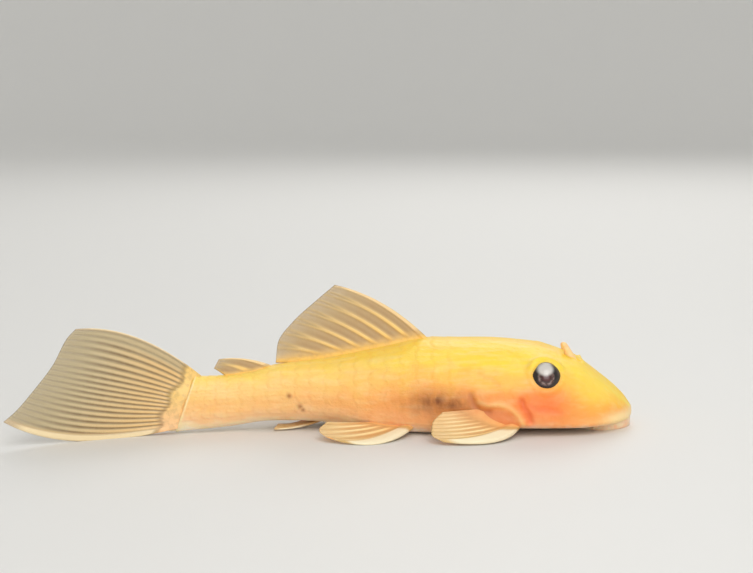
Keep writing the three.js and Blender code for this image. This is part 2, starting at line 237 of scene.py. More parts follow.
# Shader nodes
def srgb(red, green, blue):
    channels = [c / 255 for c in (red, green, blue)]
    linear = [c / 12.92 if c <= 0.04045 else ((c + 0.055) / 1.055) ** 2.4 for c in channels]
    return (*linear, 1)


class Wiring:
    """Short calls for wiring a node tree."""

    def __init__(self, tree):
        self.tree = tree

    def node(self, kind, **settings):
        made = self.tree.nodes.new(kind)
        for key, value in settings.items():
            setattr(made, key, value)
        return made

    def feed(self, socket, value):
        if isinstance(value, bpy.types.NodeSocket):
            self.tree.links.new(value, socket)
        else:
            socket.default_value = value

    def place(self):
        return self.node("ShaderNodeTexCoord").outputs["Object"]

    def mask(self, name, strength=1):
        """A mask that the mesh carries, weakened where its strength is under 1."""
        found = self.node("ShaderNodeAttribute", attribute_name=name).outputs["Fac"]
        return found if strength == 1 else self.math("MULTIPLY", found, strength)

    def math(self, operation, a, b, clamp=False):
        made = self.node("ShaderNodeMath", operation=operation, use_clamp=clamp)
        self.feed(made.inputs[0], a)
        self.feed(made.inputs[1], b)
        return made.outputs[0]

    def range(self, value, low, high, to_low=0.0, to_high=1.0):
        made = self.node("ShaderNodeMapRange", interpolation_type="SMOOTHSTEP")
        for socket, given in zip(made.inputs, (value, low, high, to_low, to_high)):
            self.feed(socket, given)
        return made.outputs[0]

    def axis(self, letter):
        return self.node_after("ShaderNodeSeparateXYZ", self.place()).outputs[letter]

    def node_after(self, kind, value):
        made = self.node(kind)
        self.feed(made.inputs[0], value)
        return made

    def ramp(self, value, stops):
        """Colour that changes smoothly through (place, colour) stops."""
        made = self.node_after("ShaderNodeValToRGB", value)
        ramp = made.color_ramp
        ramp.interpolation = "EASE"
        while len(ramp.elements) < len(stops):
            ramp.elements.new(1)
        for element, (place, colour) in zip(ramp.elements, stops):
            element.position = place
            element.color = colour
        return made.outputs["Color"]

    def blend(self, share, a, b):
        made = self.node("ShaderNodeMix", data_type="RGBA")
        self.feed(made.inputs["Factor"], share)
        self.feed(made.inputs["A"], a)
        self.feed(made.inputs["B"], b)
        return made.outputs["Result"]


def mottle_group():
    """Soft patches from 0 to 1, of a chosen size and contrast."""
    tree = bpy.data.node_groups.new("mottle", "ShaderNodeTree")
    for name, kind, value in (
        ("Stretch", "NodeSocketVector", (1, 1, 1)), ("Size", "NodeSocketFloat", 0.002),
        ("Detail", "NodeSocketFloat", 3.0), ("Low", "NodeSocketFloat", 0.35),
        ("High", "NodeSocketFloat", 0.65),
    ):
        tree.interface.new_socket(name=name, in_out="INPUT", socket_type=kind).default_value = value
    tree.interface.new_socket(name="Patches", in_out="OUTPUT", socket_type="NodeSocketFloat")
    w = Wiring(tree)
    given = w.node("NodeGroupInput").outputs
    stretched = w.node("ShaderNodeVectorMath", operation="MULTIPLY")
    w.feed(stretched.inputs[0], w.place())
    w.feed(stretched.inputs[1], given["Stretch"])
    scaled = w.node("ShaderNodeVectorMath", operation="SCALE")
    w.feed(scaled.inputs[0], stretched.outputs[0])
    w.feed(scaled.inputs["Scale"], w.math("DIVIDE", 1.0, given["Size"]))
    noise = w.node("ShaderNodeTexNoise")
    w.feed(noise.inputs["Vector"], scaled.outputs[0])
    noise.inputs["Scale"].default_value = 1
    w.feed(noise.inputs["Detail"], given["Detail"])
    patches = w.range(noise.outputs["Fac"], given["Low"], given["High"])
    w.feed(w.node("NodeGroupOutput").inputs["Patches"], patches)
    return tree


def grain_group(mottle):
    """A bumpy normal from the same soft patches, of a chosen size and depth."""
    tree = bpy.data.node_groups.new("grain", "ShaderNodeTree")
    for name, kind, value in (
        ("Stretch", "NodeSocketVector", (1, 1, 1)), ("Size", "NodeSocketFloat", 0.001),
        ("Depth", "NodeSocketFloat", 0.00005), ("Share", "NodeSocketFloat", 1.0),
        ("Normal", "NodeSocketVector", (0, 0, 0)),
    ):
        socket = tree.interface.new_socket(name=name, in_out="INPUT", socket_type=kind)
        socket.default_value = value
        socket.hide_value = name == "Normal"
    tree.interface.new_socket(name="Normal", in_out="OUTPUT", socket_type="NodeSocketVector")
    w = Wiring(tree)
    given = w.node("NodeGroupInput").outputs
    patches = w.node("ShaderNodeGroup", node_tree=mottle)
    w.feed(patches.inputs["Stretch"], given["Stretch"])
    w.feed(patches.inputs["Size"], given["Size"])
    patches.inputs["Low"].default_value = 0.2
    patches.inputs["High"].default_value = 0.8
    bump = w.node("ShaderNodeBump")
    w.feed(bump.inputs["Height"], w.math("MULTIPLY", patches.outputs["Patches"], given["Share"]))
    w.feed(bump.inputs["Distance"], given["Depth"])
    w.feed(bump.inputs["Normal"], given["Normal"])
    w.feed(w.node("NodeGroupOutput").inputs["Normal"], bump.outputs["Normal"])
    return tree


MOTTLE = mottle_group()
GRAIN = grain_group(MOTTLE)


class Shader(Wiring):
    """A material with its surface shader and the two shared groups at hand."""

    def __init__(self, name):
        self.material = bpy.data.materials.new(name)
        self.material.use_nodes = True
        super().__init__(self.material.node_tree)
        self.surface = self.tree.nodes["Principled BSDF"]

    def mottle(self, size_mm, low=0.35, high=0.65, detail=3.0, stretch=(1, 1, 1)):
        made = self.node("ShaderNodeGroup", node_tree=MOTTLE)
        made.inputs["Stretch"].default_value = stretch
        made.inputs["Size"].default_value = size_mm * MM
        made.inputs["Detail"].default_value = detail
        made.inputs["Low"].default_value = low
        made.inputs["High"].default_value = high
        return made.outputs["Patches"]

    def grain(self, size_mm, depth_mm, share=1.0, stretch=(1, 1, 1), normal=None):
        made = self.node("ShaderNodeGroup", node_tree=GRAIN)
        made.inputs["Stretch"].default_value = stretch
        made.inputs["Size"].default_value = size_mm * MM
        made.inputs["Depth"].default_value = depth_mm * MM
        self.feed(made.inputs["Share"], share)
        if normal is None:
            normal = self.node("ShaderNodeNewGeometry").outputs["Normal"]
        self.feed(made.inputs["Normal"], normal)
        return made.outputs["Normal"]


# Finishes
def skin_finish():
    s = Shader("golden_skin")
    blotch = s.math("MULTIPLY", s.math("SUBTRACT", s.mottle(4, 0.25, 0.75), 0.5), 0.12)
    height = s.math("ADD", s.mask("rise"), blotch)
    tail_tone = s.ramp(height, [
        (0.0, srgb(255, 240, 216)), (0.1, srgb(255, 224, 182)), (0.22, srgb(253, 203, 148)),
        (0.45, srgb(255, 196, 122)), (0.76, srgb(255, 206, 124)), (1.0, srgb(255, 214, 104)),
    ])
    fore_tone = s.ramp(height, [
        (0.0, srgb(255, 216, 180)), (0.16, srgb(250, 164, 92)), (0.42, srgb(252, 160, 72)),
        (0.68, srgb(255, 192, 76)), (0.86, srgb(255, 216, 66)), (1.0, srgb(255, 206, 44)),
    ])
    fore = s.range(s.axis("X"), -34 * MM, 14 * MM)
    colour = s.blend(fore, tail_tone, fore_tone)
    streaks = s.mottle(1.1, 0.42, 0.7, 3, (0.22, 1, 1))
    patches = s.mottle(1.7, 0.3, 0.66, 3, (1.1, 1, 0.8))
    patchy = s.math("ADD", 0.62, s.math("MULTIPLY", patches, 0.38))
    for share, tone in (
        (s.math("MULTIPLY", streaks, 0.22), (255, 226, 172)),
        (s.mask("glow", 0.8), (255, 218, 90)),
        (s.mask("blush", 0.85), (250, 112, 44)),
        (s.mask("gill"), (232, 84, 44)),
        (s.mask("girdle"), (255, 208, 136)),
        (s.mask("axilla", 0.7), (230, 138, 88)),
        (s.math("MULTIPLY", s.mask("stain"), patchy), (106, 44, 12)),
        # dark maroon painted along the axilla and nape creases: painted shade in the creases
        (s.mask("fold"), (158, 66, 34)),
        (s.mask("speck", 0.8), (150, 82, 30)),
        (s.mask("rim"), (255, 218, 156)),
        (s.mask("edge", 0.09), (226, 138, 56)),
        (s.mask("root"), (255, 226, 172)),
    ):
        colour = s.blend(share, colour, srgb(*tone))
    s.feed(s.surface.inputs["Base Color"], colour)
    s.surface.inputs["Roughness"].default_value = 0.45
    s.surface.inputs["Specular IOR Level"].default_value = 0.35
    s.surface.inputs["Subsurface Weight"].default_value = 0.3
    s.surface.inputs["Subsurface Radius"].default_value = (1.0, 0.45, 0.2)
    s.surface.inputs["Subsurface Scale"].default_value = 0.0015
    s.surface.inputs["Coat Weight"].default_value = 0.12
    s.surface.inputs["Coat Roughness"].default_value = 0.25
    fine = s.grain(0.3, 0.045, s.mask("rough"), (0.6, 1, 1))
    s.feed(s.surface.inputs["Normal"], s.grain(1.4, 0.1, normal=fine))
    return s.material


def web_finish(name, near_low, near_high, bare_and_shade, plain, ray_near, ray_far, inner, rim, thin):
    """Fin skin: clear between paler rays, plain at its outer edge, solid at its root."""
    s = Shader(name)
    ray = s.mask("ray")
    out = s.mask("reach")
    ray_colour = s.blend(s.range(out, 0.1, 0.9), ray_near, ray_far)
    # the web's colour between the rays near the root; the tail's dark one is painted shade between
    # its rays
    skin_colour = s.blend(s.math("MULTIPLY", s.mottle(1.4), 0.2), bare_and_shade, plain)
    skin_colour = s.blend(s.mask("streak", 0.3), skin_colour, ray_far)
    colour = s.blend(ray, skin_colour, ray_colour)
    colour = s.blend(s.mask("plain", 0.8), colour, plain)
    near = s.blend(s.range(s.axis("Z"), 1 * MM, 8 * MM), near_low, near_high)
    near = s.blend(s.math("MULTIPLY", s.mottle(0.9, 0.4, 0.65), 0.25), near, skin_colour)
    colour = s.blend(s.mask("flesh"), colour, near)
    # a band at the edge of the fleshy root, darkened towards that colour: painted shade where the
    # web leaves the root
    colour = s.blend(s.mask("brink", 0.32), colour, bare_and_shade)
    spine = s.mask("spine")
    spine_colour = s.blend(s.range(spine, 0.4, 0.9), inner, rim)
    colour = s.blend(spine, colour, spine_colour)
    s.feed(s.surface.inputs["Base Color"], colour)
    s.surface.inputs["Roughness"].default_value = 0.4
    s.surface.inputs["Specular IOR Level"].default_value = 0.35
    s.surface.inputs["Coat Weight"].default_value = 0.15
    web_alpha = s.range(out, 0.7, 1.0, thin, thin * 0.75)
    ray_alpha = s.math("MULTIPLY", ray, s.range(out, 0.4, 1.0, 0.4, 0.15))
    solid = s.math("ADD", web_alpha, ray_alpha, clamp=True)
    solid = s.math("MAXIMUM", solid, s.mask("flesh"))
    s.feed(s.surface.inputs["Alpha"], s.math("MAXIMUM", solid, spine))
    s.feed(s.surface.inputs["Normal"], s.grain(0.5, 0.03))
    return s.material


def lip_finish():
    s = Shader("pink_lips")
    tone = s.mottle(1.2, 0.3, 0.7)
    s.feed(s.surface.inputs["Base Color"], s.blend(tone, srgb(255, 196, 152), srgb(255, 226, 192)))
    s.surface.inputs["Roughness"].default_value = 0.4
    s.surface.inputs["Subsurface Weight"].default_value = 0.3
    s.surface.inputs["Subsurface Scale"].default_value = 0.0015
    return s.material


def eye_finish():
    s = Shader("wet_eye")
    colour = s.blend(s.mask("pupil"), srgb(28, 14, 12), srgb(78, 28, 26))
    colour = s.blend(s.mask("low"), colour, srgb(128, 52, 36))
    ring_colour = s.blend(s.mottle(0.5), srgb(120, 78, 70), srgb(206, 176, 168))
    colour = s.blend(s.mask("ring"), colour, ring_colour)
    # pale crescent over the top of the eye: partly the silver upper lobe of the iris, partly a
    # painted highlight
    colour = s.blend(s.mask("iris_lobe_and_highlight"), colour, srgb(226, 220, 212))
    s.feed(s.surface.inputs["Base Color"], colour)
    s.surface.inputs["Roughness"].default_value = 0.3
    s.surface.inputs["Specular IOR Level"].default_value = 0.3
    s.surface.inputs["Coat Weight"].default_value = 0.8
    s.surface.inputs["Coat Roughness"].default_value = 0.06
    return s.material


golden_skin = skin_finish()
back_web = web_finish(
    "back_web", srgb(252, 204, 110), srgb(255, 212, 118), srgb(188, 150, 92), srgb(200, 172, 120),
    srgb(255, 214, 130), srgb(222, 190, 132), srgb(246, 206, 132), srgb(252, 218, 158), 0.7,
)
tail_web = web_finish(
    # the dark web colour (126, 94, 48) is painted shade between the rays near the root
    "tail_web", srgb(252, 202, 146), srgb(248, 206, 122), srgb(126, 94, 48), srgb(192, 174, 136),
    srgb(234, 194, 132), srgb(204, 188, 150), srgb(236, 198, 140), srgb(255, 232, 186), 0.76,
)
side_web = web_finish(
    "side_web", srgb(244, 182, 110), srgb(228, 142, 86), srgb(244, 178, 106), srgb(252, 214, 150),
    srgb(255, 220, 150), srgb(255, 232, 176), srgb(255, 216, 128), srgb(255, 242, 204), 0.66,
)
pink_lips = lip_finish()
wet_eye = eye_finish()


# Body: one skin over head, trunk and tail stem
SKIN_AROUND = 220
SKIN_ALONG = 420
HEAD_SHARE = 0.42  # share of the grid's rows that the head takes
NECK_X = 15.0
ROOT_LENGTH = 1.2  # how far the skin runs out over the root of the tail fin
HEAD_TURN = 88  # degrees; the head's rows crowd together towards the snout's tip
LEAN_STEPS = 8  # rounds that settle the slant of the stem's end
NOSTRIL_BEFORE_FLAP = 0.75
NOSTRIL_LIP_BEFORE_FLAP = 1.75
CHEEK_CENTRE = (19.5, 11.6, 3.6)
BLUSH_CENTRE = (19.0, 10.9, 5.6)
GLOW_CENTRE = (27, 7, 8)
EYE_RIM_HEIGHT = 0.18
LID_HEIGHT_OVER = 0.9
LID_HEIGHT_BELOW = 0.45
CHEEK_HEIGHT = 0.3
SNOUT_RIM_HEIGHT = 0.2
SNOUT_GROOVE_DEPTH = 0.12
NOSTRIL_RIM_HEIGHT = 0.16
NOSTRIL_DEPTH = 0.7
NOSTRIL_LIP_HEIGHT = 0.4
GILL_LIP_HEIGHT = 0.14
GILL_DEPTH = 0.3
CHEEK_FOLD_DEPTH = 0.1
EYE_FOLD_DEPTH = 0.05
NAPE_FOLD_DEPTH = 0.07
GIRDLE_HEIGHT = 0.2
AXILLA_DEPTH = 0.25
SHOULDER_DEPTH = 0.3
SUTURE_DEPTH = 0.05
SUTURE_WIDTH = 0.16
CRESCENT_HEIGHT = 0.06
ROOT_STEP = 0.1


def scute_column(x):
    """How many plates a place lies behind the nape, counted along the side."""
    share = (SCUTE_START_X - x) / (SCUTE_START_X - STEM_END_X)
    reach = np.sqrt(np.maximum((1 + SCUTE_GROWTH) ** 2 - 4 * SCUTE_GROWTH * share, 0))
    return SCUTE_COLUMNS * (1 + SCUTE_GROWTH - reach) / (2 * SCUTE_GROWTH)


def plate_relief(x, degrees):
    """Height of the plates, the lines between them, and where the skin is rough with them."""
    side = np.where(degrees > 90, 180 - degrees, degrees)
    edges = np.array(SCUTE_ROWS, float)
    row = np.clip(np.searchsorted(edges, side, side="right") - 1, 0, len(edges) - 2)
    across = np.clip((side - edges[row]) / (edges[row + 1] - edges[row]), 0, 1)
    middle = 1 - np.abs(2 * across - 1)
    column = scute_column(x) - SCUTE_BOW * smooth(middle, 0, 0.8)
    along = column - np.floor(column)
    height = SCUTE_LIP * along * (1 - smooth(along, 0.84, 1.0)) * smooth(middle, 0.0, 0.3)
    keel = SCUTE_KEEL * hump(across - 0.5, 0.12)
    line = np.maximum(hump(along - 1.0, 0.07) + hump(along, 0.05), hump(middle, 0.12) * 0.7)
    plated = smooth(side, SCUTE_ROWS[0] - 3, SCUTE_ROWS[0] + 1)
    plated *= 1 - smooth(x, SCUTE_START_X - 5, SCUTE_START_X + 0.4)
    plated *= smooth(x, STEM_END_X - 0.1, STEM_END_X + 0.1)
    return (height + keel) * plated, np.clip(line, 0, 1) * plated, plated


def stem_lean(x):
    return STEM_END_SLOPE * np.clip((STEM_LEAN_X - x) / (STEM_LEAN_X - STEM_END_X), 0, 1) ** 2


def nostril_point(ahead):
    """A place just under the skin, some way in front of the nostril flap."""
    x = NOSTRIL_X + ahead
    return (x, NOSTRIL_Y, back_line(x) - 0.2)


def skin_shape(turn, place):
    head_turn = np.clip((place - 1 + HEAD_SHARE) / HEAD_SHARE, 0, 1) * math.radians(HEAD_TURN)
    head_x = mix(NECK_X, SNOUT_TIP_X, np.sin(head_turn))
    trunk_x = mix(STEM_END_X - ROOT_LENGTH, NECK_X, np.clip(place / (1 - HEAD_SHARE), 0, 1))
    ring_x = np.where(place > 1 - HEAD_SHARE, head_x, trunk_x)
    degrees = np.where(turn == 1, -90, turn * 360 - 90)
    x = ring_x
    for _ in range(LEAN_STEPS):
        x = ring_x + stem_lean(ring_x) * (section_point(x, degrees)[:, 2] - 1)
    points = section_point(x, degrees)
    one_side = np.stack([points[:, 0], np.abs(points[:, 1]), points[:, 2]], 1)
    z = points[:, 2]
    relief, edge, plated = plate_relief(ring_x, degrees)

    # eye rim, cheek, snout edge and nostril
    from_eye = distance_to(one_side, EYE_CENTRE)
    relief = relief + EYE_RIM_HEIGHT * hump(from_eye - EYE_RADIUS - 0.35, 0.4)
    over = LID_HEIGHT_OVER * smooth(z - EYE_CENTRE[2], 0.8, 2.2)
    below = LID_HEIGHT_BELOW * smooth(EYE_CENTRE[2] - z, 0.8, 2.4)
    relief += (over + below) * hump(from_eye - EYE_RADIUS + 0.1, 0.75)
    relief += CHEEK_HEIGHT * hump(distance_to(one_side, CHEEK_CENTRE, (0.6, 1, 1)), 1.8)
    snout = smooth(x, 21, 26)
    relief += SNOUT_RIM_HEIGHT * snout * hump(z - 1.9, 0.7)
    relief -= SNOUT_GROOVE_DEPTH * snout * hump(z - 3.0, 0.4)
    from_nostril = distance_to(one_side, nostril_point(NOSTRIL_BEFORE_FLAP))
    relief += NOSTRIL_RIM_HEIGHT * hump(from_nostril - 1.05, 0.35)
    relief -= NOSTRIL_DEPTH * hump(from_nostril, 0.5)
    from_lip = distance_to(one_side, nostril_point(NOSTRIL_LIP_BEFORE_FLAP), (1, 0.6, 1))
    relief += NOSTRIL_LIP_HEIGHT * hump(from_lip, 0.45)

    # gill opening, the folds of the cheek and the edge of the shoulder girdle
    side_view = np.stack([x, z], 1)
    beside = smooth(one_side[:, 1], 5, 7)
    from_gill = distance_to_path(side_view, GILL_SLIT)
    from_cheek = distance_to_path(side_view, CHEEK_FOLD)
    from_under = distance_to_path(side_view, EYE_FOLD)
    from_nape = distance_to_path(side_view, NAPE_FOLD)
    from_axilla = distance_to_path(side_view, AXILLA_FOLD)
    from_girdle = distance_to_path(side_view, GIRDLE_EDGE)
    folds = GILL_LIP_HEIGHT * hump(from_gill - 0.8, 0.5) - GILL_DEPTH * hump(from_gill, 0.4)
    folds -= CHEEK_FOLD_DEPTH * hump(from_cheek, 0.35) + EYE_FOLD_DEPTH * hump(from_under, 0.5)
    folds += GIRDLE_HEIGHT * hump(from_girdle, 0.45) - NAPE_FOLD_DEPTH * hump(from_nape, 0.45)
    from_shoulder = (side_view - np.array(SHOULDER_CENTRE)) / np.array(SHOULDER_SIZE)
    oval = np.hypot(from_shoulder[:, 0], from_shoulder[:, 1])
    shoulder = smooth(x, 4.5, 8.5) * (1 - smooth(oval, 0.7, 1.02))
    folds -= AXILLA_DEPTH * hump(from_axilla, 0.5) + SHOULDER_DEPTH * shoulder
    relief += folds * beside

    # bones of the head, parted by fine grooves
    on_top = smooth(degrees, 15, 40) * (1 - smooth(degrees, 140, 165))
    groove = np.zeros(len(x))
    for path in HEAD_SUTURES:
        groove = np.maximum(groove, hump(distance_to_path(one_side[:, :2], path), SUTURE_WIDTH))
    relief -= SUTURE_DEPTH * groove * on_top

    # specks and dark patches
    on_right = points[:, 1] < 0
    speck = np.zeros(len(x))
    for (speck_x, speck_z), size in SPECKS:
        spot = hump(np.hypot(x - speck_x, z - speck_z), size)
        speck = np.maximum(speck, spot * on_right)
    stain = np.zeros(len(x))
    for (stain_x, stain_z), (long, high), weight in STAINS:
        stain += weight * hump(np.hypot((x - stain_x) / long, (z - stain_z) / high), 1.0)

    # the fleshy root that runs out over the tail fin
    root = smooth(-ring_x, -STEM_END_X - 0.1, -STEM_END_X + 0.25)
    thin = np.clip((STEM_END_X - ring_x) / ROOT_LENGTH, 0, 1)
    crescent = hump(ring_x - STEM_END_X - 0.25, 0.28)
    relief += CRESCENT_HEIGHT * crescent - ROOT_STEP * root
    points[:, 1] *= np.where(ring_x < STEM_END_X, mix(1, 0.03, np.sqrt(thin)), 1)

    angle = np.radians(degrees)
    points += relief[:, None] * np.stack([np.zeros_like(x), np.cos(angle), np.sin(angle)], 1)
    points[:, 1] += side_bend(points[:, 0])
    points[:, 2] = np.maximum(points[:, 2], 0)

    profile = back_line(x) - np.minimum(belly_line(x), 0.9)
    masks = {
        "rise": np.clip((z - np.minimum(belly_line(x), 0.9)) / profile, 0, 1),
        "edge": np.maximum(edge, 0.5 * groove * on_top),
        "rough": np.maximum(plated, 0.6 * smooth(z, 7, 9) * smooth(x, 5, 7)),
        "blush": np.maximum(
            0.9 * hump(distance_to(one_side, BLUSH_CENTRE, (0.4, 0.5, 0.7)), 2.0),
            0.5 * hump(from_under, 1.1) * beside,
        ),
        "gill": np.maximum(0.5 * hump(from_gill, 0.85), 0.25 * hump(from_cheek, 0.5)) * beside,
        "girdle": 0.5 * hump(from_girdle, 0.45) * beside,
        # painted shade along the axilla and nape creases, strongest behind the pectoral base
        "fold": np.maximum(0.4 * hump(from_axilla, 0.6), 0.14 * hump(from_nape, 0.45)) * beside,
        "speck": speck,
        "glow": hump(distance_to(one_side, GLOW_CENTRE, (0.55, 0.5, 0.8)), 3.4),
        "axilla": beside * shoulder,
        "stain": np.clip(stain, 0, 1) * beside,
        "rim": smooth(x, 27, 32) * (1 - smooth(z, 2.6, 4.4)),
        "root": 0.85 * crescent,
    }
    return points, masks


def make_skin():
    bm = rolled_sheet(SKIN_AROUND, SKIN_ALONG, skin_shape)
    finish_piece("skin", bm, golden_skin, ["head", "trunk", "tail_stem"])


# Fins
def path_through(stops):
    lines = [line_through([(stop[0], stop[k]) for stop in stops]) for k in (1, 2, 3)]
    return lambda v: np.stack([line(v) for line in lines], axis=1)


def body_gap(points):
    """About how far points lie outside the plain body, before its bend."""
    x, y, z = points.T
    wide = wide_line(x)
    edge = np.where(z > wide, back_line(x), belly_line(x))
    power = np.where(z > wide, crown_power(x), belly_power(x))
    share = np.clip((z - wide) / (edge - wide), 0, 1)
    side = (1 - share**power) ** (1 / power) * half_width(x)
    return np.where(share < 1, np.abs(y) - side, np.abs(z - edge))


WEB_HALF_THICKNESS = 0.07
FORK_WIDTH = 0.18  # how far the halves of a ray part, in steps from ray to ray
SPINE_TIP = 0.2
RAY_TIP = 0.14
NORMAL_STEP = 1e-3


def make_fin(name, node, material, rays, base, tip, bow, spine, ray, root, side=1, far_spine=False,
             band=None, width=0.17, fork=0.6, along=64, across=12, notch=0.003, ray_start=0.0,
             root_length=0.07, ragged=0.0, skirt=1.0):
    """A fan of soft rays with thin skin between them; each ray forks towards its tip.

    base and tip are lines of (share of the fan, x, y, z) and bow bends the rays between them.
    spine, ray and root are half thicknesses. band is the share of the fan that the leading
    spine takes, and width the share of a step that a ray takes. Its halves part from fork
    onwards. skirt is how far the body's tone runs out over the root, in millimetres, or else
    ray_start is where the rays start out of a fleshy root, and ragged is how unevenly they do.
    """
    mirror = np.array([1, side, 1])
    base, tip, bow = (path_through(stops) for stops in (base, tip, bow))

    def middle(u, v):
        foot = base(v) * mirror
        end = tip(v) * mirror
        control = (foot + end) / 2 + bow(v) * mirror
        u = u[:, None]
        return (1 - u) ** 2 * foot + 2 * u * (1 - u) * control + u**2 * end

    def shape(turn, place):
        front = turn <= 0.5
        v = np.where(front, 2 * turn, 2 - 2 * turn)
        step = 1 / (rays - 1)
        number = np.round(v / step)
        spread = (v - number * step) / step
        is_far = far_spine & (number == rays - 1)
        lead = (band or 0.35 * step) * mix(1.0, 0.45, place**1.5)
        spine_crest = np.maximum(1 - smooth(v, lead * 0.55, lead), is_far * hump(spread, 0.3))
        fork_out = FORK_WIDTH * smooth(place, fork, 1.0)
        from_half = np.abs(spread) - fork_out
        split = np.clip(1.25 * hump(from_half, mix(width, width * 0.6, place)), 0, 1)
        start = ray_start * (1 + ragged * np.sin(number * 5.3 + 0.6))
        flesh = 1 - smooth(body_gap(middle(place, v)), 0.0, skirt)
        if ray_start:
            flesh = 1 - smooth(place, start * 0.75, start * 1.15)
        crest = np.where(is_far, 0, split) * (1 - spine_crest) * (1 - flesh)
        joints = 1 + 0.12 * np.sin(place * 90) * smooth(place, 0.2, 0.5)
        ray_half = mix(ray, min(ray, RAY_TIP), place**0.8)
        spine_half = mix(spine, SPINE_TIP, place**1.5)
        half = WEB_HALF_THICKNESS + (ray_half - WEB_HALF_THICKNESS) * crest * joints
        half = half + (spine_half - WEB_HALF_THICKNESS) * spine_crest
        root_here = root * (1 - 0.8 * far_spine * smooth(v, 0.6, 1))
        half = half + np.maximum(root_here - half, 0) * hump(place, root_length)
        half = half * smooth(place, 0, 0.02) * (1 - smooth(place, 0.985, 1))
        u = place * (1 - notch * smooth(np.abs(spread), 0.2, 0.5))
        run = middle(u + NORMAL_STEP, v) - middle(u - NORMAL_STEP, v)
        fan = middle(u, v + NORMAL_STEP) - middle(u, v - NORMAL_STEP)
        normal = np.cross(run, fan)
        normal /= np.linalg.norm(normal, axis=1)[:, None]
        half = half * np.sqrt(np.clip(np.minimum(v, 1 - v) / (0.35 * step), 0, 1))
        points = middle(u, v) + normal * (half * np.where(front, 1, -1))[:, None]
        points[:, 1] += side_bend(points[:, 0])
        points[:, 2] = np.maximum(points[:, 2], 0)
        masks = {
            "ray": np.clip(crest, 0, 1),
            "reach": place,
            "plain": np.maximum(smooth(place, 0.5, 0.92), far_spine * smooth(v, 0.84, 0.93)),
            "streak": 0.5 + 0.5 * np.cos(4 * math.pi * spread + place * 3),
            "spine": spine_crest * 0.92 * (1 - flesh) * (1 - 0.5 * smooth(place, 0.85, 1)),
            "flesh": flesh,
            # band at the edge of the fleshy root where the web is darkened: painted shade there
            "brink": 4 * flesh * (1 - flesh) * (ray_start > 0) * (1 - spine_crest),
        }
        return points, masks

    bm = rolled_sheet(2 * across * (rays - 1), along, shape)
    finish_piece(name, bm, material, [node])


def make_fins():
    make_fin(
        "dorsal_fin_web", "dorsal_fin", back_web, 8,
        [(0, 0.6, 0, 14), (1, -18.2, 0, 10.9)],
        [
            (0, -16.9, 0, 25), (0.3, -20.4, 0, 22.1), (0.6, -24.2, 0, 18.7),
            (0.85, -26.9, 0, 14.9), (1, -27.3, 0, 11.5),
        ],
        [(0, 0.7, 0, 3.2), (0.5, 0.2, 0, 1.3), (1, 0, 0, 0.3)],
        spine=0.45, ray=0.24, root=0.6, band=0.06, width=0.15, fork=0.5, across=14, notch=0,
        skirt=2.2,
    )
    make_fin(
        "adipose_fin_web", "adipose_fin", back_web, 3,
        [(0, -26.6, 0, 10.4), (1, -35.2, 0, 8.8)],
        [(0, -37, 0, 12.6), (1, -37.9, 0, 11)],
        [(0, 0.2, 0, 1.6), (1, 0, 0, 0.3)],
        spine=0.5, ray=0.1, root=0.6, notch=0, skirt=0.9,
    )
    make_fin(
        "anal_fin_web", "anal_fin", side_web, 5,
        [(0, -17.4, -0.6, 1.9), (1, -21, 0, 2)],
        [(0, -27.6, -3.6, 0.5), (1, -27, -0.4, 0.75)],
        [(0, -0.4, -0.9, -1.2), (1, 0, 0, -1.1)],
        spine=0.35, ray=0.22, root=0.35,
    )
    make_fin(
        "caudal_fin_web", "caudal_fin", tail_web, 20,
        [(0, -43.4, 0, 1.1), (0.5, -42.4, 0, 5.2), (1, -39.2, 0, 9.1)],
        [
            (0, -71.8, 0, 4.6), (0.12, -70, 0, 6.1), (0.35, -67.2, 0, 9.3),
            (0.65, -64, 0, 13.5), (0.88, -61.7, 0, 17.8), (1, -60.3, 0, 19.3),
        ],
        [(0, -4.1, 0, -5.9), (0.3, -1.5, 0, -2.4), (0.7, -0.4, 0, 1.4), (1, -0.8, 0, 5.6)],
        spine=0.5, ray=0.26, root=1.5, far_spine=True, band=0.12, width=0.36, fork=0.7, along=110,
        notch=0, ray_start=0.14, root_length=0.12, ragged=0.12,
    )
    for side_name, side in (("left", 1), ("right", -1)):
        make_fin(
            "pectoral_web_" + side_name, "pectoral_fin_" + side_name, side_web, 10,
            [(0, 15.2, 9.6, 1.9), (1, 12, 10, 5)],
            [
                (0, 1.4, 17.6, 0.6), (0.3, -0.6, 16.6, 1.7),
                (0.65, -0.4, 15, 3.2), (1, 1.4, 13.6, 4.9),
            ],
            [(0, 4.4, 5.9, -1.6), (0.5, 1, 2.4, -0.7), (1, 0, 0.9, 0.2)],
            spine=0.6, ray=0.2, root=0.8, side=side, band=0.34, width=0.24, skirt=2.6,
        )
        make_fin(
            "pelvic_web_" + side_name, "pelvic_fin_" + side_name, side_web, 6,
            [(0, -2.6, 8.6, 1.9), (1, -8.4, 8, 2.3)],
            [
                (0, -15.2, 15.6, 0.5), (0.35, -18.2, 13.9, 1),
                (0.7, -19.5, 12, 1.9), (1, -18.2, 9.8, 2.8),
            ],
            [(0, 1.2, 7.2, -1.9), (0.5, 0.3, 2.8, -0.8), (1, 0, 0.9, -0.2)],
            spine=0.5, ray=0.2, root=0.5, side=side, band=0.34, width=0.24, skirt=2.6,
        )


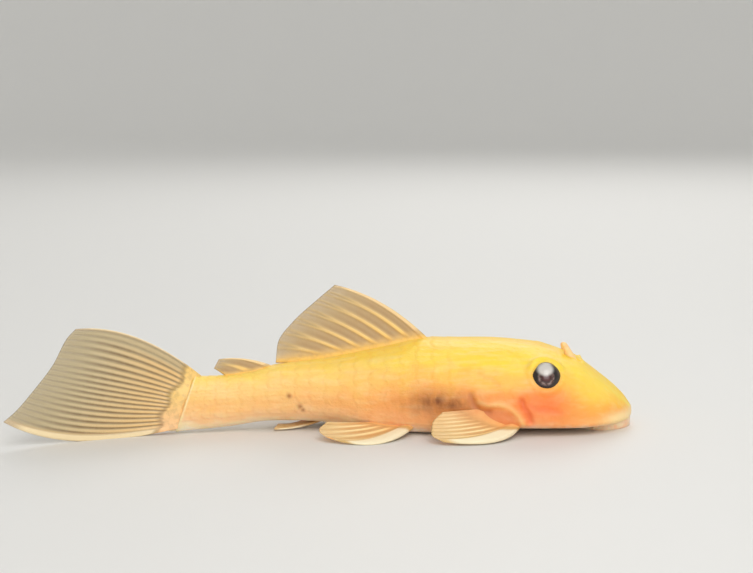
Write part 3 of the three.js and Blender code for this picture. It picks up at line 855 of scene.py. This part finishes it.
# Eyes
def make_eye(side_name, side):
    """A ball that looks sideways, with a pale ring round its dark red pupil and a pale crescent
    over it that is partly a painted highlight.
    """
    centre = Vector((EYE_CENTRE[0], EYE_CENTRE[1] * side, EYE_CENTRE[2])) * MM
    gaze = Vector((0.04, side, 0.28)).to_track_quat("Z", "Y").to_matrix().to_4x4()
    bm = bmesh.new()
    bmesh.ops.create_uvsphere(bm, u_segments=72, v_segments=48, radius=EYE_RADIUS * MM)
    layers = {name: bm.verts.layers.float.new(name) for name in ("ring", "pupil", "iris_lobe_and_highlight", "low")}
    for vert in bm.verts:
        turn = math.degrees(vert.co.angle(Vector((0, 0, 1))))
        up = (gaze @ vert.co).z / (EYE_RADIUS * MM)
        vert[layers["ring"]] = 0.55 * float(hump(turn - 23, 4))
        vert[layers["pupil"]] = float(1 - smooth(turn, 12, 19))
        ahead = (gaze @ vert.co).x / (EYE_RADIUS * MM)
        # the pale crescent on the upper front of the ball is partly the iris's silver lobe, partly
        # a painted highlight
        shine = math.hypot(ahead / 0.5, (up - 0.66) / 0.34)
        vert[layers["iris_lobe_and_highlight"]] = 0.8 * float(1 - smooth(shine, 0.6, 1.15))
        vert[layers["low"]] = float(smooth(-up, 0.3, 0.65))
    bmesh.ops.transform(bm, matrix=Matrix.Translation(centre) @ gaze, verts=bm.verts)
    finish_piece("eyeball_" + side_name, bm, wet_eye, ["eye_" + side_name])


# Nostril flaps
FLAP_HEIGHT = 2.5
FLAP_WIDTH = 0.85
FLAP_THICKNESS = 1.0


def make_nostril_flap(side_name, side):
    """A small leaf of skin that stands behind the nostril and leans back."""

    def shape(turn, place):
        angle = turn * 2 * math.pi
        tip = np.sqrt(np.clip(1 - ((place - 0.8) / 0.2).clip(0) ** 2, 0, 1))
        width = FLAP_WIDTH * (1 - 0.45 * place) * tip
        thick = FLAP_THICKNESS * (1 - 0.5 * place) * tip
        foot_z = back_line(NOSTRIL_X) - 0.7
        x = NOSTRIL_X - 0.3 - 0.4 * FLAP_HEIGHT * place**1.2 + thick * np.cos(angle)
        y = side * NOSTRIL_Y + width * np.sin(angle)
        z = foot_z + FLAP_HEIGHT * place + 0.15 * thick * np.cos(angle)
        masks = {"rise": np.full(len(turn), 0.2), "rim": np.full(len(turn), 0.8)}
        return np.stack([x, y, z], 1), masks

    bm = rolled_sheet(around=24, along=20, shape=shape)
    finish_piece("nostril_flap_" + side_name, bm, golden_skin, [])


# Sucker mouth
ROOF_SHARE = 0.35  # share of the sheet that the disc's roof takes
RIM_SHARE = 0.15  # share that the rim takes; the underside has the rest
MOUTH_DEPTH = 1.1
BUMP_HEIGHT = 0.16


def make_mouth():
    """A round lip disc with small bumps under it and a hollow at the mouth opening."""
    rim_end = ROOF_SHARE + RIM_SHARE

    def shape(turn, place):
        angle = turn * 2 * math.pi
        # place runs from the middle of the roof, out over the rim, and back in to the mouth opening
        out = np.where(place < ROOF_SHARE, place / ROOF_SHARE, 1.0)
        under = np.clip((place - rim_end) / (1 - rim_end), 0, 1)
        rim = np.clip((place - ROOF_SHARE) / RIM_SHARE, 0, 1) * math.pi
        radius = np.where(place < rim_end, out * 0.97 + 0.03 * np.sin(rim), 1 - 0.75 * under)
        height = np.where(place < ROOF_SHARE, DISC_HEIGHT, DISC_HEIGHT / 2 * (1 + np.cos(rim)))
        inside = smooth(under, 0.75, 1.0)
        height = np.where(place >= rim_end, MOUTH_DEPTH * inside, height)
        bumps = BUMP_HEIGHT * np.maximum(0, np.sin(angle * 26)) * np.maximum(0, np.sin(under * 38))
        height = height + np.where(place >= rim_end, bumps * (1 - inside), 0)
        x = DISC_CENTRE_X + radius * DISC_LENGTH * np.cos(angle)
        y = radius * DISC_WIDTH * np.sin(angle)
        return np.stack([x, y, height], 1), {}

    bm = rolled_sheet(around=180, along=90, shape=shape)
    finish_piece("lip_disc", bm, pink_lips, ["sucker_mouth"])


BARBEL_RADIUS = 0.5
BARBEL_REACH = 1.9
BARBEL_HEIGHT = 0.62


def make_barbel(side_name, side):
    """A short barbel at the corner of the mouth."""

    def shape(turn, place):
        angle = turn * 2 * math.pi
        radius = BARBEL_RADIUS * (1 - 0.6 * place) * np.sqrt(np.clip((1 - place) / 0.1, 0, 1))
        x = DISC_CENTRE_X - 0.4 - 1.2 * place + radius * np.cos(angle)
        y = side * (DISC_WIDTH - 0.9 + BARBEL_REACH * place)
        z = BARBEL_HEIGHT + radius * np.sin(angle)
        return np.stack([x, y, z], 1), {}

    bm = rolled_sheet(around=20, along=16, shape=shape)
    finish_piece("barbel_" + side_name, bm, pink_lips, [])


make_skin()
make_fins()
make_mouth()
for side_name, side in (("left", 1), ("right", -1)):
    make_eye(side_name, side)
    make_nostril_flap(side_name, side)
    make_barbel(side_name, side)


# Stage, lights and camera; sizes of the backdrop and the lights are in metres
FLOOR_RADIUS = 0.8
COVE_RADIUS = 0.6  # the floor curves up into the wall over this
COVE_STEPS = 12
WALL_TOP = 1.4
SPIN_STEPS = 96
BACKDROP_WELD = 1e-5


def make_backdrop():
    """A round pale floor that curves up into a wall, so that it has no far edge."""
    bm = bmesh.new()
    places = [(0.0, 0.0), (FLOOR_RADIUS / 2, 0.0)]
    for step in range(COVE_STEPS + 1):
        turn = step / COVE_STEPS * math.pi / 2
        out = FLOOR_RADIUS + COVE_RADIUS * math.sin(turn)
        places.append((out, COVE_RADIUS * (1 - math.cos(turn))))
    places.append((FLOOR_RADIUS + COVE_RADIUS, WALL_TOP))
    verts = [bm.verts.new((x, 0, z)) for x, z in places]
    edges = [bm.edges.new(pair) for pair in zip(verts, verts[1:])]
    bmesh.ops.spin(
        bm, geom=verts + edges, cent=(0, 0, 0), axis=(0, 0, 1), angle=2 * math.pi,
        steps=SPIN_STEPS, use_merge=True,
    )
    bmesh.ops.remove_doubles(bm, verts=bm.verts, dist=BACKDROP_WELD)
    mesh = bpy.data.meshes.new("backdrop")
    bm.to_mesh(mesh)
    bm.free()
    mesh.polygons.foreach_set("use_smooth", [True] * len(mesh.polygons))
    s = Shader("pale_backdrop")
    s.surface.inputs["Base Color"].default_value = srgb(228, 226, 222)
    s.surface.inputs["Roughness"].default_value = 0.6
    mesh.materials.append(s.material)
    backdrop = bpy.data.objects.new("backdrop", mesh)
    bpy.context.scene.collection.objects.link(backdrop)


def make_light(name, place, size, power):
    """A round soft light that points at the fish."""
    data = bpy.data.lights.new(name, "AREA")
    data.shape = "DISK"
    data.size = size
    data.energy = power
    light = bpy.data.objects.new(name, data)
    light.location = place
    light.rotation_euler = (-Vector(place)).to_track_quat("-Z", "Y").to_euler()
    bpy.context.scene.collection.objects.link(light)


def make_camera():
    data = bpy.data.cameras.new("camera")
    data.lens = LENS
    camera = bpy.data.objects.new("camera", data)
    camera.location = Vector(CAMERA_PLACE) * MM
    camera.rotation_euler = (math.radians(90 - CAMERA_PITCH), math.radians(CAMERA_ROLL), 0)
    data.clip_start = 0.01
    bpy.context.scene.collection.objects.link(camera)
    bpy.context.scene.camera = camera


make_backdrop()
make_light("key", place=(0.15, -0.4, 0.55), size=0.4, power=1.2)
make_light("fill", place=(0.2, -1.15, 0.55), size=0.85, power=5.6)
make_light("rim", place=(0.1, 0.5, 0.4), size=0.4, power=0.9)
make_camera()
world = bpy.data.worlds.new("studio")
world.use_nodes = True
world.node_tree.nodes["Background"].inputs["Color"].default_value = srgb(235, 238, 240)
world.node_tree.nodes["Background"].inputs["Strength"].default_value = 0.75
bpy.context.scene.world = world
bpy.context.scene.view_settings.view_transform = "Standard"
